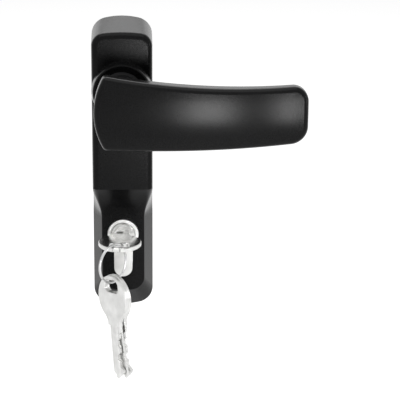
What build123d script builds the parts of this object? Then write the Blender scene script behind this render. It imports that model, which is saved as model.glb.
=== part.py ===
from build123d import *
import math
import os

# Outside trim of a panic bar: cast casing, lever, half cylinder with its key, and a ring with two more keys.
# Millimetres. The door's outer face is y = 0, and the spindle's axis runs along Y through the origin.
# +Z is up, +X is the side that the lever points to, and the viewer stands at -Y.

# Casing
casing_width = 33.0
casing_top = 37.2
casing_bottom = -127.8
casing_corner = 9.5
casing_end_radius = 40.0
casing_rim = 2.5
wall = 2.5
body_depth = 22.0
body_draft = 0.1
body_corner = 7.0
body_end_radius = 120.0
body_top_slope = 6.2
body_edge = 3.4
body_end = -54.8
tongue_depth = 12.0
tongue_width = 23.0
tongue_end = -116.3
tongue_corner = 7.5
tongue_end_radius = 30.0
tongue_edge = 1.0
scoop_height = 18.5

# Ring round the lever's neck on the casing
boss_radius = 15.8
boss_flare = 0.7
boss_height = 5.5
boss_edge = 1.0

# Base plate
plate_thickness = 2.5
plate_clearance = 0.25
ear_thickness = 1.0
lug_thickness = 2.2
lug_height = 9.0
lug_reach = 20.5

# Fixing posts and screws
upper_post_z = 25.2
lower_post_z = -115.8
post_radius = 4.2
post_bore = 2.5
post_length = 32.0
post_bore_depth = 24.0
post_spigot_radius = 4.9
post_flange_radius = 5.4
post_flange = 2.0
screw_places = ((0, 16.5), (-9.0, -48.8), (9.0, -48.8))
screw_radius = 1.6
screw_head_radius = 3.2
screw_head_height = 1.7
screw_length = 10.0
screw_boss_radius = 2.8
slot_width = 0.8
slot_depth = 0.7

# Lever
neck_radius = 10.0
neck_root = 20.0
neck_tail = 1.35
lever_left = -14.6
lever_right = 96.9
lever_top_left = 15.3
lever_top_middle = 9.8
lever_top_right = 10.4
lever_bottom_left = -24.0
lever_bottom_middle = -23.5
lever_bottom_right = -20.2
lever_corner_left = 3.0
lever_corner_top = 8.0
lever_corner_bottom = 9.5
lever_bulge = 5.4
lever_front = 62.0
lever_front_left = 58.0
lever_front_right = 57.0
lever_thickness = 13.0
lever_thickness_right = 11.0
lever_crown = 2.6
lever_edge = 3.0
lever_overlap = 8.0
lever_hollow = 0.6

# Bearing and drive
running_gap = 0.05
face_gap = 0.3
bush_wall = 1.6
bush_flange = 2.0
bush_flange_wall = 2.6
washer_thickness = 1.0
washer_wall = 2.4
circlip_thickness = 1.2
circlip_groove = 0.7
circlip_wall = 2.6
spindle_side = 9.0
spindle_front = -44.8
spindle_back = 56.0
socket_gap = 0.1
grub_radius = 2.4
grub_length = 6.0
grub_y = -37.0
hex_socket = 2.5

# Return mechanism
handle_travel = 45.0
disc_radius = 12.5
lug_circle = 10.5
lug_radius = 1.8
stop_circle = 9.5
stop_radius = 1.5
stop_gap = 0.25
slider_left = 6.9
slider_right = 12.4
slider_thickness = 5.3
slider_room = 0.6
slider_height = 13.0
slider_pocket = 4.0
spring_radius = 2.0
spring_wire = 0.7
spring_turns = 8
spring_length = 27.0
seat_thickness = 1.5

# Half cylinder, a Euro profile
cylinder_z = -83.0
cylinder_front = -14.0
profile_radius = 8.5
profile_height = 33.0
profile_width = 10.0
face_to_cam = 30.0
cam_to_end = 10.0
cam_slot = 10.0
cam_reach = 15.4
profile_gap = 0.2
collar_wall = 1.6
plug_radius = 6.45
plug_proud = 0.3
plug_chamfer = 0.5
stub_radius = 5.9
stub_flat = 4.6
fixing_hole_drop = 20.2
fixing_radius = 2.5
pin_radius = 1.45
pin_count = 5
pin_pitch = 4.0
first_pin = 5.5
pin_gap = 0.05
driver_length = 5.0
chamber_plug_length = 2.2
pin_wire = 0.3
pin_spring_turns = 5
cam_hub_radius = 8.3
cam_nose_width = 8.0
clip_thickness = 0.8

# Keys
key_thickness = 2.3
key_offset = -1.7
blade_height = 8.5
blade_length = 30.0
bow_length = 28.0
bow_width = 23.4
bow_stretch = 1.0
bow_neck = 10.5
key_shoulder = 2.2
bow_notch = 0.8
key_hole_width = 11.0
key_hole_height = 6.8
key_hole_corner = 2.6
key_strip = 2.6
key_rim = 0.4
cut_depths = (1.6, 2.8, 2.0, 3.2, 2.4)
cut_floor = 1.1
keyway_gap = 0.12
keyway_mouth = 0.55
keyway_mouth_depth = 3.0
shoulder_gap = 0.1

# Ring and hanging keys
ring_radius = 10.3
ring_wire = 0.7
ring_offset = -3.8
ring_turn = 48.0
ring_seat = 0.45
ring_joint_gap = 0.25
hang_gap = 0.6
hang_spread = 2.7
hang_twist = 8.0
front_tilt = 6.5
back_tilt = 12.0
front_hang = -0.6
back_hang = 0.7

# Worked out from the sizes above
half_width = casing_width / 2
plate_front = -plate_thickness
cylinder_back = cylinder_front + face_to_cam + cam_to_end
cam_y = cylinder_front + face_to_cam
tail_radius = profile_width / 2
tail_drop = profile_height - profile_radius - tail_radius
bush_front = -body_depth - boss_height + face_gap
bush_flange_front = -body_depth + wall
bush_back = bush_flange_front + bush_flange
washer_front = bush_back + face_gap
clip_front = washer_front + washer_thickness + pin_gap
neck_end = clip_front + circlip_thickness + neck_tail
slider_back = plate_front - face_gap
slider_front = slider_back - slider_thickness
disc_front = neck_end + face_gap
disc_back = slider_front - slider_room
slider_x = (slider_left + slider_right) / 2
slider_y = (slider_front + slider_back) / 2
lug_angle = handle_travel / 2
slider_top = lug_circle * math.sin(math.radians(lug_angle)) - lug_radius - socket_gap
slider_bottom = slider_top - slider_height
spring_top = slider_bottom + slider_pocket
spring_bottom = spring_top - spring_length
plug_face = cylinder_front - plug_proud
web_back = cam_y - cam_slot / 2
shoulder_y = plug_face - shoulder_gap
strip_y = shoulder_y - bow_length + key_strip / 2
ring_x = key_offset + ring_offset
ring_z = cylinder_z + key_thickness / 2 + ring_seat - (ring_radius - ring_wire)
clear = 2 * (casing_top - casing_bottom)
pin_places = [cylinder_front + first_pin + pin_pitch * i for i in range(pin_count)]

os.makedirs("parts", exist_ok=True)


def depth_plane(y):
    """The plane parallel to the door at depth y, drawn as seen from the front."""
    return Plane(origin=(0, y, 0), x_dir=(1, 0, 0), z_dir=(0, -1, 0))


def rod(radius, front, back, x=0.0, z=0.0):
    """A round bar along Y from front to back."""
    plane = Plane(origin=(x, back, z), x_dir=(1, 0, 0), z_dir=(0, -1, 0))
    return extrude(plane * Circle(radius), amount=back - front)


def slab(x0, x1, y0, y1, z0, z1):
    """A block between two corners."""
    middle = Pos((x0 + x1) / 2, (y0 + y1) / 2, (z0 + z1) / 2)
    return middle * Box(x1 - x0, y1 - y0, z1 - z0)


def hollow_rod(outer, inner, front, back, x=0.0, z=0.0):
    """A tube along Y."""
    return rod(outer, front, back, x, z) - rod(inner, front - 1, back + 1, x, z)


def end_corner(half, end, corner, end_radius, up):
    """The middle of a corner's circle, and the angle at which it runs into the end's wide arc."""
    across = half - corner
    height = math.sqrt((end_radius - corner) ** 2 - across**2)
    middle = (across, end - up * (end_radius - height))
    return middle, math.atan2(height, across)


def round_end(half, end, corner, end_radius, up):
    """One end of the long outline from its right to its left side: a wide arc between two corners."""
    (x, z), angle = end_corner(half, end, corner, end_radius, up)

    def point(turn):
        return x + corner * math.cos(turn), z + up * corner * math.sin(turn)

    side, bend, join = point(0), point(angle / 2), point(angle)
    right = ThreePointArc(side, bend, join)
    top = ThreePointArc(join, (0, end), (-join[0], join[1]))
    left = ThreePointArc((-join[0], join[1]), (-bend[0], bend[1]), (-side[0], side[1]))
    return right, top, left


def plate_outline(half, top, bottom, corner, end_radius):
    """The long rounded outline of the casing, with slightly arched ends."""
    upper = round_end(half, top, corner, end_radius, 1)
    lower = round_end(half, bottom, corner, end_radius, -1)
    side_right = Line(lower[0] @ 0, upper[0] @ 0)
    side_left = Line(upper[2] @ 1, lower[2] @ 1)
    return make_face(Wire([side_right, *upper, side_left, *lower]))


def upper_body(inset):
    """The thick upper half of the casing, down to where the scoop starts."""
    base = plate_outline(
        half_width - inset, casing_top - inset, casing_bottom, casing_corner - inset, casing_end_radius
    )
    face = plate_outline(
        half_width - inset - body_draft,
        casing_top - inset - body_top_slope,
        casing_bottom,
        body_corner - inset,
        body_end_radius,
    )
    front = -body_depth + inset
    block = loft([depth_plane(0) * base, depth_plane(front) * face], ruled=True)
    block = block & slab(-clear, clear, -clear, clear, body_end, clear)
    edges = block.faces().sort_by(Axis.Y)[0].edges()
    edges = edges.filter_by(lambda edge: edge.center().Z > body_end + 0.01)
    return fillet(edges, max(body_edge - inset, 0.5))


def scoop_section(z, inset):
    """One cross-section of the scoop, between the upper body and the tongue."""
    drop = min(max((body_end - z) / scoop_height, 0.0), 1.0)
    across = drop * drop * (3 - 2 * drop)
    fall = math.sin(drop * math.pi / 2)
    depth = body_depth - (body_depth - tongue_depth) * fall - inset
    shoulder = half_width - body_draft + (tongue_width / 2 - half_width + body_draft) * across - inset
    foot = half_width - inset
    rim = casing_rim
    foot_front = foot - (foot - shoulder) * (rim / depth) * (1 - across)
    points = [(-foot, 0), (-foot_front, -rim), (-shoulder, -depth)]
    points += [(-x, y) for x, y in reversed(points)]
    profile = Plane.XY.offset(z) * make_face(Polyline(*points, close=True))
    radius = body_edge * (1 - drop) + tongue_edge * drop - inset
    return fillet(profile.vertices().group_by(Axis.Y)[0], max(radius, 0.5))


def scoop(inset):
    """The hollow below the upper body, which turns its upright sides into the tongue's bevels."""
    steps = [0.0, 0.12, 0.3, 0.5, 0.75, 1.0]
    return loft([scoop_section(body_end - scoop_height * step, inset) for step in steps])


def lower_body(inset):
    """The thin lower half: a raised tongue with wide bevels round it."""
    base = plate_outline(
        half_width - inset, casing_top, casing_bottom + inset, casing_corner - inset, casing_end_radius
    )
    tongue = plate_outline(
        tongue_width / 2 - inset,
        casing_top,
        tongue_end + inset,
        tongue_corner - inset / 2,
        tongue_end_radius,
    )
    rim = extrude(depth_plane(0) * base, amount=casing_rim)
    front = -tongue_depth + inset
    bevels = loft([depth_plane(-casing_rim) * base, depth_plane(front) * tongue], ruled=True)
    block = (rim + bevels) & slab(-clear, clear, -clear, clear, -clear, body_end - scoop_height)
    edges = block.faces().sort_by(Axis.Y)[0].edges()
    edges = edges.filter_by(lambda edge: edge.center().Z < body_end - scoop_height - 0.01)
    return fillet(edges, max(tongue_edge - inset, 0.5))


def casing_form(inset):
    """The casing's closed outer form, or the hollow inside it when it is inset by the wall."""
    return upper_body(inset) + scoop(inset) + lower_body(inset)


def boss():
    """The raised conical ring that the lever's neck comes out of."""
    front = -body_depth - boss_height
    foot = boss_radius + boss_flare
    line = [
        (0, front),
        (boss_radius - boss_edge, front),
        (boss_radius - 0.3 * boss_edge, front + 0.3 * boss_edge),
        (boss_radius, front + boss_edge),
        (foot, -body_depth),
        (foot, -body_depth + 2 * wall),
        (0, -body_depth + 2 * wall),
    ]
    profile = Plane.XY * make_face(Polyline(*line, close=True))
    return revolve(profile, Axis.Y) & slab(-half_width, half_width, -clear, 0, -clear, clear)


def euro_profile(gap):
    """The standard outline of the cylinder: a round head and a narrow tail."""
    head = Circle(profile_radius + gap)
    web = Pos(0, -tail_drop / 2) * Rectangle(profile_width + 2 * gap, tail_drop)
    tail = Pos(0, -tail_drop) * Circle(tail_radius + gap)
    return head + web + tail


def euro_bar(gap, front, back):
    """The cylinder's profile drawn out along Y."""
    plane = Plane(origin=(0, back, cylinder_z), x_dir=(1, 0, 0), z_dir=(0, -1, 0))
    return extrude(plane * euro_profile(gap), amount=back - front)


def cover():
    shell = casing_form(0) + boss()
    hollow = casing_form(wall)
    inner = hollow - euro_bar(profile_gap + collar_wall, -tongue_depth, 0)
    for x, z in screw_places:
        inner = inner - rod(screw_boss_radius, -body_depth, 0, x, z)
    shell = shell - inner
    shell = shell - extrude(depth_plane(0) * plate_shape(wall), amount=plate_thickness + plate_clearance)
    for x, z in screw_places:
        shell = shell - rod(screw_radius + running_gap, -screw_length - 1, 0, x, z)
    shell = shell - euro_bar(profile_gap, -clear, 1)
    return shell - rod(bush_radius() + running_gap, -clear, bush_flange_front + 1)


def bush_radius():
    return neck_radius + running_gap + bush_wall


def seat_z():
    """The height of the return spring's lower seat."""
    return spring_bottom - running_gap


def plate_shape(inset):
    """The casing's outline at the door, inset for the base plate and its seat."""
    return plate_outline(
        half_width - inset,
        casing_top - inset,
        casing_bottom + inset,
        casing_corner - inset,
        casing_end_radius,
    )


def base_plate():
    plate = extrude(depth_plane(0) * plate_shape(wall + plate_clearance), amount=plate_thickness)
    plate = plate - rod(spindle_side / 2 * math.sqrt(2) + 1, -clear, clear)
    plate = plate - euro_bar(profile_gap, -clear, clear)
    plate = plate - rod(stop_radius + running_gap, -clear, clear, -stop_circle, 0)
    for z in (upper_post_z, lower_post_z):
        plate = plate - rod(post_spigot_radius + running_gap, -clear, clear, 0, z)
    for x, z in screw_places:
        plate = plate - countersink(x, z, screw_radius + 2 * running_gap, running_gap)
    front = slider_front
    low = seat_z() - seat_thickness
    inner = slider_left - 2 * socket_gap
    outer = slider_right + 2 * socket_gap
    ear_top = -spindle_side * math.sqrt(2) / 2 - 2
    ears = slab(inner - ear_thickness, inner, front, 0, low, ear_top)
    ears = ears + slab(outer, outer + ear_thickness, front, 0, low, ear_top)
    seat = slab(inner, outer, front, 0, low, seat_z())
    lug_x = -tail_radius - profile_gap - 0.1
    lug_z = cylinder_z - fixing_hole_drop
    lug_low = lug_z - lug_height / 2
    lug = slab(lug_x - lug_thickness, lug_x, plate_front, lug_reach, lug_low, lug_low + lug_height)
    plate = plate + ears + seat + lug
    hole = Pos(lug_x, cam_y, lug_z) * Rot(0, 90, 0) * Cylinder(fixing_radius + 0.1, 4 * lug_thickness)
    return plate - hole


def countersink(x, z, radius, gap):
    """The room of a countersunk screw, from the back of the plate forwards."""
    head = Plane.XY * make_face(
        Polyline(
            (0, 0),
            (screw_head_radius + gap, 0),
            (radius, -screw_head_height - gap),
            (radius, -screw_length),
            (0, -screw_length),
            close=True,
        )
    )
    return Pos(x, 0, z) * revolve(head, Axis.Y)


def cover_screws():
    screws = []
    for x, z in screw_places:
        screw = countersink(x, z, screw_radius, 0)
        slot = slab(x - clear, x + clear, -slot_depth, 1, z - slot_width / 2, z + slot_width / 2)
        screws.append(screw - slot)
    return Compound(children=screws)


def fixing_post(z):
    """A threaded sleeve that reaches into the door, on a spigot through the plate and a flange before it."""
    post = rod(post_radius, 0, post_length, 0, z)
    post = post + rod(post_spigot_radius, plate_front, 0, 0, z)
    post = post + rod(post_flange_radius, plate_front - post_flange, plate_front, 0, z)
    post = chamfer(post.edges().filter_by(GeomType.CIRCLE).sort_by(Axis.Y)[-1], 0.6)
    return post - rod(post_bore, post_length - post_bore_depth, post_length + 1, 0, z)


def lever_outline():
    """The paddle as seen from the front."""
    left = lever_left + lever_bulge
    middle = (left + lever_right) / 2
    top = ThreePointArc((left, lever_top_left), (middle, lever_top_middle), (lever_right, lever_top_right))
    right = Line((lever_right, lever_top_right), (lever_right, lever_bottom_right))
    low = ThreePointArc(
        (lever_right, lever_bottom_right), (middle, lever_bottom_middle), (left, lever_bottom_left)
    )
    end_z = (lever_top_left + lever_bottom_left) / 2
    end = ThreePointArc((left, lever_bottom_left), (lever_left, end_z), (left, lever_top_left))
    face = make_face(Wire([top, right, low, end]))
    corners = face.vertices().sort_by(Axis.X)
    face = fillet(corners[:2], lever_corner_left)
    upper = face.vertices().sort_by(Axis.X)[-2:].sort_by(Axis.Y)[-1]
    face = fillet(upper, lever_corner_top)
    lower = face.vertices().sort_by(lambda v: v.Y - 10 * v.X)[0]
    return fillet(lower, lever_corner_bottom)


def lever_section(x, front, thickness):
    """The paddle's cross-section at x: a crowned front and a slightly hollow back."""
    top = lever_top_left + lever_overlap
    low = lever_bottom_left - lever_overlap
    middle = (top + low) / 2
    edge = -front + lever_crown * 1.6
    back = -front + thickness
    plane = Plane(origin=(x, 0, 0), x_dir=(0, 1, 0), z_dir=(1, 0, 0))
    crown = ThreePointArc((edge, low), (-front, middle), (edge, top))
    upper = Line((edge, top), (back, top))
    rear = ThreePointArc((back, top), (back - lever_hollow, middle), (back, low))
    lower = Line((back, low), (edge, low))
    return plane * make_face(Wire([crown, upper, rear, lower]))


def paddle():
    """The crowned paddle: the outline cut through a slab that bows towards the hand along its length."""
    span = lever_right - lever_left
    rise = lever_front - lever_front_left
    fall = lever_front - lever_front_right
    middle_thickness = (lever_thickness + lever_thickness_right) / 2
    stations = (
        (-0.04, lever_front_left, lever_thickness),
        (0.2, lever_front_left + 0.62 * rise, lever_thickness),
        (0.5, lever_front, lever_thickness),
        (0.78, lever_front - 0.26 * fall, middle_thickness),
        (1.04, lever_front_right, lever_thickness_right),
    )
    bowed = loft([lever_section(lever_left + share * span, front, deep) for share, front, deep in stations])
    return bowed & extrude(depth_plane(0) * lever_outline(), amount=clear)


def lever():
    body = fillet(paddle().edges(), lever_edge)
    root = -lever_front + lever_thickness
    start = depth_plane(-body_depth - boss_height - 2) * Circle(neck_radius)
    middle_z = (lever_top_left + lever_bottom_left) / 2
    end = depth_plane(root - 3) * Pos(0.6, middle_z) * Ellipse(neck_root / 2 + 0.8, neck_root / 2 + 3)
    neck = rod(neck_radius, -body_depth - boss_height - 2, neck_end)
    body = body + neck + loft([start, end])
    half = spindle_side / 2 + socket_gap
    body = body - slab(-half, half, spindle_front - 0.2, neck_end + 1, -half, half)
    groove_front = clip_front - running_gap
    groove_back = clip_front + circlip_thickness + running_gap
    body = body - hollow_rod(neck_radius + 2, neck_radius - circlip_groove, groove_front, groove_back)
    hole = Pos(0, grub_y, -(half + neck_radius)) * Cylinder(grub_radius + 0.1, 2 * neck_radius)
    return body - hole


def grub_screw():
    top = -(spindle_side / 2) - 0.05
    screw = Pos(0, grub_y, top - grub_length / 2) * Cylinder(grub_radius, grub_length)
    socket = Plane.XY.offset(top - grub_length) * RegularPolygon(hex_socket / 2, 6, major_radius=False)
    return screw - Pos(0, grub_y, 0) * extrude(socket, amount=hex_socket)


def spindle():
    half = spindle_side / 2
    bar = slab(-half, half, spindle_front, spindle_back, -half, half)
    return chamfer(bar.faces().sort_by(Axis.Y)[-1].edges(), 1.0)


def handle_bush():
    bore = neck_radius + running_gap
    bush = rod(bush_radius(), bush_front, bush_back)
    bush = bush + rod(neck_radius + bush_flange_wall, bush_flange_front, bush_back)
    return bush - rod(bore, bush_front - 1, bush_back + 1)


def neck_washer():
    back = washer_front + washer_thickness
    return hollow_rod(neck_radius + washer_wall, neck_radius + running_gap, washer_front, back)


def neck_circlip():
    inner = neck_radius - circlip_groove + running_gap
    back = clip_front + circlip_thickness
    clip = hollow_rod(inner + circlip_wall, inner, clip_front, back)
    for side in (-1, 1):
        clip = clip + rod(1.7, clip_front, back, side * 3.0, inner + 1.6)
    for side in (-1, 1):
        clip = clip - rod(0.7, clip_front - 1, back + 1, side * 3.0, inner + 1.9)
    clip = clip - rod(inner, clip_front - 1, back + 1)
    return clip - slab(-1.6, 1.6, clip_front - 1, back + 1, 0, clear)


def drive_disc():
    disc = rod(disc_radius, disc_front, disc_back)
    half = spindle_side / 2 + running_gap
    disc = disc - slab(-half, half, disc_front - 1, disc_back + 1, -half, half)
    slot_half = stop_radius + stop_gap
    reach = handle_travel + 2 * math.degrees(stop_gap / stop_circle)
    start = 180 - math.degrees(stop_gap / stop_circle)
    path = CenterArc((0, 0), stop_circle, start, reach)
    sector = offset(path, slot_half, side=Side.BOTH)
    plane = depth_plane(disc_back + 1)
    disc = disc - extrude(plane * make_face(sector), amount=disc_back - disc_front + 2)
    lug_x = lug_circle * math.cos(math.radians(lug_angle))
    lug_z = lug_circle * math.sin(math.radians(lug_angle))
    return disc + rod(lug_radius, disc_back - 1, slider_back - face_gap, lug_x, lug_z)


def stop_pin():
    pin = rod(stop_radius, disc_front, 0, -stop_circle, 0)
    return chamfer(pin.edges().sort_by(Axis.Y)[0], 0.3)


def return_slider():
    block = slab(slider_left, slider_right, slider_front, slider_back, slider_bottom, slider_top)
    block = chamfer(block.edges().filter_by(Axis.Y), 0.5)
    pocket = Pos(slider_x, slider_y, slider_bottom + slider_pocket / 2 - 0.5)
    return block - pocket * Cylinder(spring_radius + 0.1, slider_pocket + 1)


def coil(radius, wire, turns, length):
    """A compression spring of square wire, standing on z = 0."""
    pitch = (length - wire) / turns
    path = Helix(pitch, pitch * turns, radius)
    start = path @ 0
    plane = Plane(origin=start, x_dir=(start.X, start.Y, 0), z_dir=path % 0)
    bar = sweep(plane * Rectangle(wire, wire), path=path, is_frenet=True)
    return Pos(0, 0, wire / 2) * bar


def return_spring():
    spring = coil(spring_radius - spring_wire / 2, spring_wire, spring_turns, spring_length - 0.2)
    return Pos(slider_x, slider_y, spring_bottom + 0.05) * spring


def cylinder_body():
    body = euro_bar(0, cylinder_front, cylinder_back)
    bore = plug_radius + running_gap
    body = body - rod(bore, cylinder_front - 1, web_back, 0, cylinder_z)
    mouth = revolve(
        Plane.XY
        * make_face(
            Polyline(
                (0, cylinder_front),
                (bore + plug_chamfer, cylinder_front),
                (bore, cylinder_front + plug_chamfer),
                (0, cylinder_front + plug_chamfer),
                close=True,
            )
        ),
        Axis.Y,
    )
    body = body - Pos(0, 0, cylinder_z) * mouth
    slot_low = cylinder_z - cam_reach - 0.8
    body = body - slab(-clear, clear, web_back, web_back + cam_slot, slot_low, clear)
    chamber = Cylinder(pin_radius + pin_gap, profile_height)
    for y in pin_places:
        body = body - Pos(0, y, cylinder_z - profile_height / 2) * chamber
    fixing = Pos(0, cam_y, cylinder_z - fixing_hole_drop) * Rot(0, 90, 0)
    return body - fixing * Cylinder(fixing_radius, 4 * tail_radius)


def blade_profile(gap):
    """The blade's stepped section, which the keyway repeats with a small gap. x runs up the blade."""
    half = blade_height / 2 + gap
    thick = key_thickness / 2 + gap
    step = 0.8
    points = [
        (-half, -thick),
        (-1.6, -thick),
        (-0.8, -thick + step + gap),
        (0.6, -thick + step + gap),
        (1.4, -thick),
        (half, -thick),
        (half, thick - step),
        (1.9 + gap, thick - step),
        (1.2, thick),
        (-1.2 - gap, thick),
        (-2.1, thick - step),
        (-half, thick - step),
    ]
    return make_face(Polyline(*points, close=True))


def cylinder_plug():
    plug = rod(plug_radius, plug_face, web_back - pin_gap, 0, cylinder_z)
    plug = chamfer(plug.edges().filter_by(GeomType.CIRCLE).sort_by(Axis.Y)[0], plug_chamfer)
    stub_end = web_back + cam_slot - 2 * running_gap
    stub = rod(stub_radius, web_back - 1, stub_end, 0, cylinder_z)
    stub = stub & slab(-clear, clear, -clear, clear, cylinder_z - stub_flat, cylinder_z + stub_flat)
    groove = web_back + clip_thickness + 2 * running_gap
    plug = plug + stub
    plug = plug - hollow_rod(stub_radius + 2, stub_radius - 0.6, web_back, groove, 0, cylinder_z)
    key_end = plug_face + blade_length + 1
    key_plane = Plane(origin=(key_offset, key_end, cylinder_z), x_dir=(1, 0, 0), z_dir=(0, -1, 0))
    keyway = extrude(key_plane * blade_profile(keyway_gap), amount=blade_length + 3)
    flare_plane = Plane(
        origin=(key_offset, plug_face + keyway_mouth_depth, cylinder_z), x_dir=(1, 0, 0), z_dir=(0, -1, 0)
    )
    flare = extrude(flare_plane * blade_profile(keyway_mouth), amount=2 * keyway_mouth_depth)
    mouth = slab(
        -plug_radius - 1,
        key_offset - blade_height / 2 + 0.5,
        plug_face - 1,
        key_end,
        cylinder_z - key_thickness / 2 - keyway_gap,
        cylinder_z + key_thickness / 2 - 0.8,
    )
    plug = plug - keyway - mouth - flare
    bore = Rot(0, 90, 0) * Cylinder(pin_radius + pin_gap, plug_radius)
    for y in pin_places:
        plug = plug - Pos(-1 - plug_radius / 2, y, cylinder_z) * bore
    return plug


def key_pins():
    """Each pin stands on the floor of its cut, with its outer end just inside the plug's surface."""
    pins = []
    outer = plug_radius - 0.3
    for y, depth in zip(pin_places, cut_depths):
        inner = blade_height / 2 - key_offset - depth + pin_gap
        pin = Pos(-(outer + inner) / 2, y, cylinder_z) * Rot(0, 90, 0) * Cylinder(pin_radius, outer - inner)
        pin = chamfer(pin.edges().sort_by(Axis.X)[-1], 0.5)
        pins.append(pin)
    return Compound(children=pins)


def driver_pins():
    top = cylinder_z - plug_radius - 0.15
    pin = Cylinder(pin_radius, driver_length)
    return Compound(children=[Pos(0, y, top - driver_length / 2) * pin for y in pin_places])


def chamber_bottom():
    return cylinder_z - profile_height + profile_radius


def pin_springs():
    top = cylinder_z - plug_radius - 0.15 - driver_length
    low = chamber_bottom() + 0.6 + chamber_plug_length
    spring = coil(pin_radius - pin_wire, pin_wire, pin_spring_turns, top - low - 0.2)
    return Compound(children=[Pos(0, y, low + 0.1) * spring for y in pin_places])


def chamber_plugs():
    middle = chamber_bottom() + 0.6 + chamber_plug_length / 2
    plug = Cylinder(pin_radius, chamber_plug_length)
    return Compound(children=[Pos(0, y, middle) * plug for y in pin_places])


def cam():
    """The cam's hub on the plug's stub, with the nose that works the follower in the door."""
    front = web_back + clip_thickness + 4 * running_gap
    back = web_back + cam_slot - 2 * running_gap
    hub = rod(cam_hub_radius, front, back, 0, cylinder_z)
    half = cam_nose_width / 2
    tip = cam_reach - half
    nose = slab(0, tip, front, back, cylinder_z - half, cylinder_z + half)
    nose = nose + rod(half, front, back, tip, cylinder_z)
    bore = rod(stub_radius + running_gap, front - 1, back + 1, 0, cylinder_z)
    flat = stub_flat + running_gap
    bore = bore & slab(-clear, clear, -clear, clear, cylinder_z - flat, cylinder_z + flat)
    return hub + nose - bore


def plug_clip():
    inner = stub_radius - 0.6 + running_gap
    back = web_back + running_gap + clip_thickness
    clip = hollow_rod(plug_radius + 1.2, inner, web_back + running_gap, back, 0, cylinder_z)
    return clip - slab(-clear, -2, web_back - 1, back + 1, cylinder_z - 3.4, cylinder_z + 3.4)


def cylinder_screw():
    lug_x = -tail_radius - profile_gap - 0.1 - lug_thickness
    z = cylinder_z - fixing_hole_drop
    shank_end = tail_radius - 1
    shank = Pos((lug_x + shank_end) / 2, cam_y, z) * Rot(0, 90, 0)
    screw = shank * Cylinder(fixing_radius - 0.1, shank_end - lug_x)
    head = Pos(lug_x - 1.4, cam_y, z) * Rot(0, 90, 0) * Cylinder(4.2, 2.8)
    head = chamfer(head.edges().filter_by(GeomType.CIRCLE).sort_by(Axis.X)[0], 0.5)
    slot = slab(lug_x - 4, lug_x - 1.6, -clear, clear, z - 0.5, z + 0.5)
    return screw + head - slot


def rimmed(face):
    """A flat piece of the key's thickness with bevelled rims."""
    body = extrude(face, amount=key_thickness)
    rims = body.faces().filter_by(Axis.Y).edges()
    return chamfer(rims.filter_by(lambda edge: edge.center().Z > 0.1), key_rim)


def key_blank():
    """A key with its blade down: x across, y through its thickness, z up to the end of the bow."""
    half = key_thickness / 2
    flat = Plane(origin=(0, half, 0), x_dir=(1, 0, 0), z_dir=(0, -1, 0))
    centre = bow_length - bow_width / 2 - bow_stretch
    hole_z = bow_length - key_strip - key_hole_height / 2
    hole = Pos(0, hole_z) * RectangleRounded(key_hole_width, key_hole_height, key_hole_corner)
    bow = rimmed(flat * (Pos(0, centre) * Ellipse(bow_width / 2, bow_length - centre) - hole))
    neck_top = centre - bow_width / 4
    neck = make_face(
        Polyline(
            (-bow_neck / 2, 0),
            (bow_neck / 2, 0),
            (bow_neck / 2, key_shoulder),
            (bow_width * 0.4, neck_top),
            (-bow_width * 0.4, neck_top),
            (-bow_neck / 2, key_shoulder),
            close=True,
        )
    )
    notch = Pos(0, bow_length + bow_notch / 2) * Rot(0, 0, 45) * Rectangle(bow_notch * 1.6, bow_notch * 1.6)
    return bow + rimmed(flat * neck) - extrude(flat * notch, amount=key_thickness) + blade()


def blade():
    """The grooved blade with its cuts on the -x side and a pointed tip."""
    section = Plane.XY.offset(0.5) * blade_profile(0)
    bar = extrude(section, amount=-blade_length - 0.5)
    edge = -blade_height / 2
    for i, depth in enumerate(cut_depths):
        z = -(first_pin + plug_proud + shoulder_gap + pin_pitch * i)
        bar = bar - cut(edge, z, depth)
    reach = 4.0
    tip = Plane.XZ * make_face(
        Polyline(
            (edge - 1, -blade_length - 1),
            (edge - 1, -blade_length + reach + 0.8),
            (0.2, -blade_length),
            (-edge + 1, -blade_length + reach),
            (-edge + 1, -blade_length - 1),
            close=True,
        )
    )
    return bar - extrude(tip, amount=5, both=True)


def cut(edge, z, depth):
    """One V-shaped cut with a flat floor."""
    floor = cut_floor
    rise = depth + 1
    notch = Plane.XZ * make_face(
        Polyline(
            (edge + depth, z - floor),
            (edge + depth, z + floor),
            (edge - 1, z + floor + rise * 0.9),
            (edge - 1, z - floor - rise * 0.9),
            close=True,
        )
    )
    return extrude(notch, amount=5, both=True)


def key_in_lock():
    """The key in the plug after a quarter turn: its bow lies flat and its cuts face left."""
    place = Plane(origin=(key_offset, shoulder_y, cylinder_z), x_dir=(1, 0, 0), z_dir=(0, -1, 0))
    return place.location * key_blank()


def level_direction(turn):
    """The level direction that is turned so many degrees from the right towards the door."""
    angle = math.radians(turn)
    return Vector(math.cos(angle), math.sin(angle), 0)


def key_ring():
    along = level_direction(ring_turn)
    plane = Plane(origin=(ring_x, strip_y, ring_z), x_dir=along, z_dir=along.cross(Vector(0, 0, 1)))
    ring = Torus(ring_radius, ring_wire)
    joint = Pos(-ring_radius * 0.8, -ring_radius * 0.6) * Rot(0, 0, 36.87) * Box(4, ring_joint_gap, 4)
    return plane.location * (ring - joint)


def hanging_key(side, tilt, hang):
    """A key on the ring's lowest stretch, which leans and is twisted a little on the wire."""
    offset_along = side * hang_spread / 2
    wire_z = ring_z - math.sqrt(ring_radius**2 - offset_along**2)
    pivot = Vector(ring_x, strip_y, wire_z) + level_direction(ring_turn) * offset_along
    across = level_direction(ring_turn - hang_twist + 90)
    place = Plane(origin=pivot, x_dir=across, z_dir=(0, 0, 1))
    hole_top = bow_length - key_strip
    return place.location * Rot(0, tilt, 0) * Pos(hang, 0, -(hole_top - ring_wire - hang_gap)) * key_blank()


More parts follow.
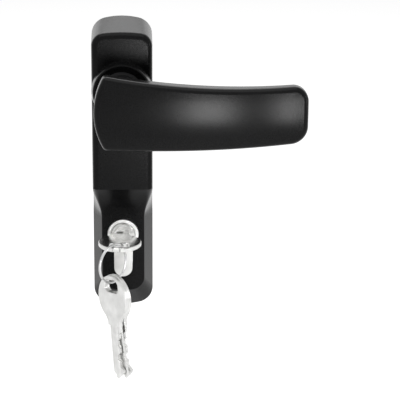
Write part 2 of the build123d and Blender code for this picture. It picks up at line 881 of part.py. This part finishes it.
nodes = {
    "cover": cover(),
    "base_plate": base_plate(),
    "upper_fixing_post": fixing_post(upper_post_z),
    "lower_fixing_post": fixing_post(lower_post_z),
    "cover_screws": cover_screws(),
    "handle_bush": handle_bush(),
    "neck_washer": neck_washer(),
    "neck_circlip": neck_circlip(),
    "lever": lever(),
    "grub_screw": grub_screw(),
    "spindle": spindle(),
    "drive_disc": drive_disc(),
    "stop_pin": stop_pin(),
    "return_slider": return_slider(),
    "return_spring": return_spring(),
    "cylinder_body": cylinder_body(),
    "cylinder_plug": cylinder_plug(),
    "key_pins": key_pins(),
    "driver_pins": driver_pins(),
    "pin_springs": pin_springs(),
    "chamber_plugs": chamber_plugs(),
    "cam": cam(),
    "plug_clip": plug_clip(),
    "cylinder_screw": cylinder_screw(),
    "key_in_lock": key_in_lock(),
    "key_ring": key_ring(),
    "hanging_key_front": hanging_key(-1, front_tilt, front_hang),
    "hanging_key_back": hanging_key(1, back_tilt, back_hang),
}

for name, shape in nodes.items():
    export_step(shape, f"parts/{name}.step")
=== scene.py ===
import math

import bpy
from mathutils import Matrix, Vector


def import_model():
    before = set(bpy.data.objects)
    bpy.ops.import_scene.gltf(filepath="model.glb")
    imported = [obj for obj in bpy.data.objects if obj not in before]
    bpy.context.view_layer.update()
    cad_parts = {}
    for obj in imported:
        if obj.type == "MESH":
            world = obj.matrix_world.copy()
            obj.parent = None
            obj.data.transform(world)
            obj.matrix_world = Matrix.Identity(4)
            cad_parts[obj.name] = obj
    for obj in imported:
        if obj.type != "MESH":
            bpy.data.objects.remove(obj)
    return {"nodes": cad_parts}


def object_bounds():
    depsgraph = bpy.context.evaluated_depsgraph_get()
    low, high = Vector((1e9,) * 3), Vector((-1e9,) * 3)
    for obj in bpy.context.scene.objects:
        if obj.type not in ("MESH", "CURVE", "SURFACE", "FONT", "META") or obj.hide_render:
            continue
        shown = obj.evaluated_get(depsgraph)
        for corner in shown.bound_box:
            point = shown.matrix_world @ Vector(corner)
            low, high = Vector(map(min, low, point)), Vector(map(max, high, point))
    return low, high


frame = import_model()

cad_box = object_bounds()
nodes = frame["nodes"]

# Camera set from the photograph, in metres, degrees and pixels, with the sensor in millimetres
PHOTO_SIDE = 400
FOCAL_PIXELS = 1621.0
CAMERA_DISTANCE = 0.9
CAMERA_ELEVATION = 16.5
CAMERA_AZIMUTH = -2.5
CAMERA_ROLL = 0.39
CAMERA_TARGET = Vector((0.04275, -0.010, -0.06446))
SENSOR_WIDTH = 36.0

# Floor and world
FLOOR_DROP = 0.05
FLOOR_SIZE = 12.0
FLOOR_GREY = 0.9
FLOOR_GLOW = 0.52
WORLD_LIGHT = 0.38
WORLD_WHITE = 1.0

# Lamps, in metres: name, place, aim, width, height and brightness
PART_MIDDLE = (0.03, -0.03, -0.04)
LEVER_MIDDLE = (0.0505, -0.062, 0.0)
LEVER_END = (0.09, -0.058, 0.001)
CASING_EDGE = (0.0, -0.02, 0.0)
LAMPS = (
    ("top_light", (0.0, -0.3, 1.5), PART_MIDDLE, 1.6, 1.2, 1.3),
    ("back_light", (0.0, 0.9, 1.1), PART_MIDDLE, 1.2, 0.5, 1.8),
    ("front_light", (0.066, -0.404, -0.062), LEVER_MIDDLE, 0.08, 0.105, 18.5),
    ("side_light", (0.206, -0.381, -0.058), LEVER_END, 0.03, 0.11, 28.0),
    ("right_strip", (0.55, -0.2, 0.04), CASING_EDGE, 0.02, 0.22, 18.0),
)

# Grain of the surfaces, in noise cells to the metre, and the depth of their bumps in metres
POWDER_SPECKLE = 2600
POWDER_RIPPLE = 900
POWDER_CLOUD = 38
POWDER_DEPTH = 0.00008
PLATE_PATCH = 160
PLATE_SCRATCH = 2200
PLATE_DEPTH = 0.00005
MOULD_GRAIN = 1500
MOULD_DEPTH = 0.00005

# Slants between which the powder coat's clear surface comes up and fades: 0 faces the eye, 1 is edge on
SLANT_START = 0.42
SLANT_PEAK = 0.68
SLANT_END = 0.85

# Nodes that share a material
ZINC_PLATED = (
    "base_plate", "upper_fixing_post", "lower_fixing_post", "cover_screws", "cylinder_screw", "drive_disc",
)
SPRING_STEEL = (
    "neck_washer", "neck_circlip", "grub_screw", "stop_pin", "return_spring", "pin_springs", "plug_clip",
)
HANGING_KEYS = ("hanging_key_front", "hanging_key_back")
BRASS = ("key_pins", "driver_pins", "chamber_plugs")


class Shader:
    """A new node material with a Principled shader and short helpers to add nodes."""

    def __init__(self, name):
        self.material = bpy.data.materials.new(name)
        self.material.use_nodes = True
        self.tree = self.material.node_tree
        self.shader = self.tree.nodes["Principled BSDF"]
        self.coordinates = self.tree.nodes.new("ShaderNodeTexCoord").outputs["Object"]

    def add(self, kind, **values):
        node = self.tree.nodes.new(kind)
        for key, value in values.items():
            node.inputs[key].default_value = value
        return node

    def link(self, output, target):
        self.tree.links.new(output, target)

    def drive(self, output, socket):
        """The output drives a socket of the Principled shader."""
        self.link(output, self.shader.inputs[socket])

    def set(self, **values):
        for key, value in values.items():
            self.shader.inputs[key.replace("_", " ")].default_value = value

    def noise(self, scale, detail, stretch=None):
        """A noise value between 0 and 1, in object space, stretched along an axis where that is given."""
        node = self.add("ShaderNodeTexNoise", Scale=scale, Detail=detail)
        source = self.coordinates
        if stretch:
            mapping = self.add("ShaderNodeMapping", Scale=stretch)
            self.link(source, mapping.inputs["Vector"])
            source = mapping.outputs["Vector"]
        self.link(source, node.inputs["Vector"])
        return node.outputs["Fac"]

    def ramp(self, value, low, high, first, second):
        """The value mapped from low..high to two colours."""
        node = self.add("ShaderNodeValToRGB")
        start, end = node.color_ramp.elements
        start.position = low
        end.position = high
        start.color = (*first, 1)
        end.color = (*second, 1)
        self.link(value, node.inputs["Fac"])
        return node.outputs["Color"]

    def spread(self, value, low, high):
        """The value mapped from 0..1 to low..high."""
        return map_range(self.tree, value, low, high)

    def bump(self, heights, distance):
        """Bump from one or several (height, strength) pairs, one over the other."""
        normal = None
        for height, strength in heights:
            node = self.add("ShaderNodeBump", Strength=strength, Distance=distance)
            self.link(height, node.inputs["Height"])
            if normal is not None:
                self.link(normal, node.inputs["Normal"])
            normal = node.outputs["Normal"]
        self.drive(normal, "Normal")


def map_range(tree, value, low, high):
    """The value mapped from 0..1 to low..high, in the nodes of a material or the world."""
    node = tree.nodes.new("ShaderNodeMapRange")
    node.inputs["To Min"].default_value = low
    node.inputs["To Max"].default_value = high
    tree.links.new(value, node.inputs["Value"])
    return node.outputs["Result"]


def seen_directly(tree):
    """1 for what the camera, a reflection or a view through glass shows, and 0 for the light on the part."""
    path = tree.nodes.new("ShaderNodeLightPath")
    seen = path.outputs["Is Camera Ray"]
    for ray in ("Is Glossy Ray", "Is Transmission Ray"):
        either = tree.nodes.new("ShaderNodeMath")
        either.operation = "MAXIMUM"
        tree.links.new(seen, either.inputs[0])
        tree.links.new(path.outputs[ray], either.inputs[1])
        seen = either.outputs[0]
    return seen


def powder_black(name, dark, light, gloss, sheen):
    """Satin black powder coat: a fine speckle, and a clear surface that shows more at a slant."""
    m = Shader(name)
    speckle = m.noise(POWDER_SPECKLE, 3)
    ripple = m.noise(POWDER_RIPPLE, 2)
    cloud = m.noise(POWDER_CLOUD, 2)
    m.drive(m.ramp(speckle, 0.44, 0.6, dark, light), "Base Color")
    m.drive(m.spread(cloud, 0.2, 0.24), "Roughness")
    m.set(Specular_IOR_Level=gloss, Coat_Roughness=0.24, Coat_IOR=1.5)
    slant = m.add("ShaderNodeLayerWeight", Blend=0.5).outputs["Facing"]
    coat = m.ramp(slant, SLANT_START, SLANT_END, (0, 0, 0), (sheen / 2,) * 3)
    peak = coat.node.color_ramp.elements.new(SLANT_PEAK)
    peak.color = (sheen, sheen, sheen, 1)
    m.drive(coat, "Coat Weight")
    m.bump([(speckle, 0.18), (ripple, 0.06)], POWDER_DEPTH)
    return m.material


def plated(name, dark, light, rough, grain=(1, 1, 1)):
    """A plated or drawn metal: soft patches of tone, fine scratches along the grain."""
    m = Shader(name)
    patch = m.noise(PLATE_PATCH, 3)
    scratch = m.noise(PLATE_SCRATCH, 2, grain)
    m.drive(m.ramp(patch, 0.3, 0.7, dark, light), "Base Color")
    m.drive(m.spread(scratch, rough * 0.8, rough * 1.25), "Roughness")
    m.set(Metallic=1.0)
    m.bump([(scratch, 0.05)], PLATE_DEPTH)
    return m.material


def acetal(name, dark, light):
    """Moulded plastic with a faint mould texture."""
    m = Shader(name)
    grain = m.noise(MOULD_GRAIN, 2)
    m.drive(m.ramp(grain, 0.3, 0.7, dark, light), "Base Color")
    m.drive(m.spread(grain, 0.4, 0.5), "Roughness")
    m.bump([(grain, 0.06)], MOULD_DEPTH)
    return m.material


def paint(material, *names):
    for name in names:
        slots = nodes[name].data.materials
        slots.clear()
        slots.append(material)


def dress_outside():
    """The black castings and the metal that shows in front of the door."""
    casing_black = powder_black("casing_black", (0.0012, 0.0012, 0.0013), (0.006, 0.006, 0.0063), 0.1, 0.95)
    lever_black = powder_black("lever_black", (0.0006, 0.0006, 0.0007), (0.0045, 0.0045, 0.0048), 0.13, 0.4)
    paint(casing_black, "cover")
    paint(lever_black, "lever")
    # Painted shade: the bush's front shows in the gap between the boss and the lever neck, and it is
    # coloured near black to stand for the shade there
    paint(acetal("shade_black_acetal", (0.02, 0.02, 0.021), (0.03, 0.03, 0.031)), "handle_bush")
    paint(plated("body_nickel", (0.6, 0.6, 0.59), (0.73, 0.73, 0.72), 0.3), "cylinder_body")
    paint(plated("plug_nickel", (0.44, 0.44, 0.43), (0.8, 0.8, 0.79), 0.22), "cylinder_plug")
    paint(plated("key_polished", (0.56, 0.56, 0.55), (0.72, 0.72, 0.71), 0.2), "key_in_lock")
    paint(plated("key_nickel", (0.56, 0.56, 0.55), (0.7, 0.7, 0.69), 0.3), *HANGING_KEYS)
    paint(plated("ring_wire", (0.46, 0.46, 0.46), (0.58, 0.58, 0.58), 0.28), "key_ring")


def dress_inside():
    """The pieces behind the casing and inside the cylinder."""
    paint(plated("zinc_plate", (0.5, 0.51, 0.53), (0.66, 0.67, 0.69), 0.34), *ZINC_PLATED)
    paint(plated("drawn_bar", (0.46, 0.47, 0.48), (0.6, 0.61, 0.62), 0.3, (1, 0.05, 1)), "spindle")
    paint(plated("spring_steel", (0.3, 0.3, 0.31), (0.42, 0.42, 0.43), 0.3), *SPRING_STEEL)
    paint(plated("cam_steel", (0.3, 0.3, 0.31), (0.42, 0.42, 0.43), 0.42), "cam")
    paint(plated("turned_brass", (0.55, 0.4, 0.16), (0.68, 0.52, 0.24), 0.3), *BRASS)
    paint(acetal("natural_acetal", (0.62, 0.61, 0.56), (0.7, 0.69, 0.64)), "return_slider")


def stage():
    """A pale floor well below the part, which shows white to the camera and keeps the part's shadow."""
    level = cad_box[0][2] - FLOOR_DROP
    half = FLOOR_SIZE / 2
    mesh = bpy.data.meshes.new("floor")
    corners = [(-half, -half, level), (half, -half, level), (half, half, level), (-half, half, level)]
    mesh.from_pydata(corners, [], [(0, 1, 2, 3)])
    floor = bpy.data.objects.new("floor", mesh)
    bpy.context.scene.collection.objects.link(floor)
    m = Shader("floor_white")
    m.set(Base_Color=(FLOOR_GREY, FLOOR_GREY, FLOOR_GREY, 1), Roughness=0.9, Specular_IOR_Level=0.0)
    m.set(Emission_Color=(1, 1, 1, 1))
    m.drive(m.spread(seen_directly(m.tree), 0.0, FLOOR_GLOW), "Emission Strength")
    mesh.materials.append(m.material)


def world():
    """White behind the part, and a plain grey level of light on it."""
    studio = bpy.data.worlds.new("studio")
    studio.use_nodes = True
    bpy.context.scene.world = studio
    tree = studio.node_tree
    background = tree.nodes["Background"]
    background.inputs["Color"].default_value = (1, 1, 1, 1)
    strength = map_range(tree, seen_directly(tree), WORLD_LIGHT, WORLD_WHITE)
    tree.links.new(strength, background.inputs["Strength"])


def softbox(name, place, aim, width, height, brightness):
    """An area lamp at a place, turned to an aim. The camera doesn't see it, though reflections do."""
    light = bpy.data.lights.new(name, "AREA")
    light.shape = "RECTANGLE"
    light.size = width
    light.size_y = height
    light.energy = brightness * math.pi * width * height
    lamp = bpy.data.objects.new(name, light)
    lamp.location = place
    lamp.rotation_euler = (Vector(aim) - Vector(place)).to_track_quat("-Z", "Y").to_euler()
    lamp.visible_camera = False
    bpy.context.scene.collection.objects.link(lamp)


def camera():
    elevation = math.radians(CAMERA_ELEVATION)
    azimuth = math.radians(CAMERA_AZIMUTH)
    roll = math.radians(CAMERA_ROLL)
    level = math.cos(elevation)
    back = Vector((math.sin(azimuth) * level, -math.cos(azimuth) * level, math.sin(elevation)))
    right = back.cross(Vector((0, 0, -1))).normalized()
    up = back.cross(right)
    tilted_right = right * math.cos(roll) + up * math.sin(roll)
    tilted_up = up * math.cos(roll) - right * math.sin(roll)
    place = CAMERA_TARGET + back * CAMERA_DISTANCE
    data = bpy.data.cameras.new("camera")
    data.sensor_width = SENSOR_WIDTH
    data.lens = SENSOR_WIDTH * FOCAL_PIXELS / PHOTO_SIDE
    eye = bpy.data.objects.new("camera", data)
    turn = Matrix((tilted_right, tilted_up, back)).transposed()
    eye.matrix_world = Matrix.Translation(place) @ turn.to_4x4()
    bpy.context.scene.collection.objects.link(eye)
    bpy.context.scene.camera = eye


dress_outside()
dress_inside()
stage()
world()
for lamp in LAMPS:
    softbox(*lamp)
camera()
bpy.context.scene.view_settings.view_transform = "Standard"
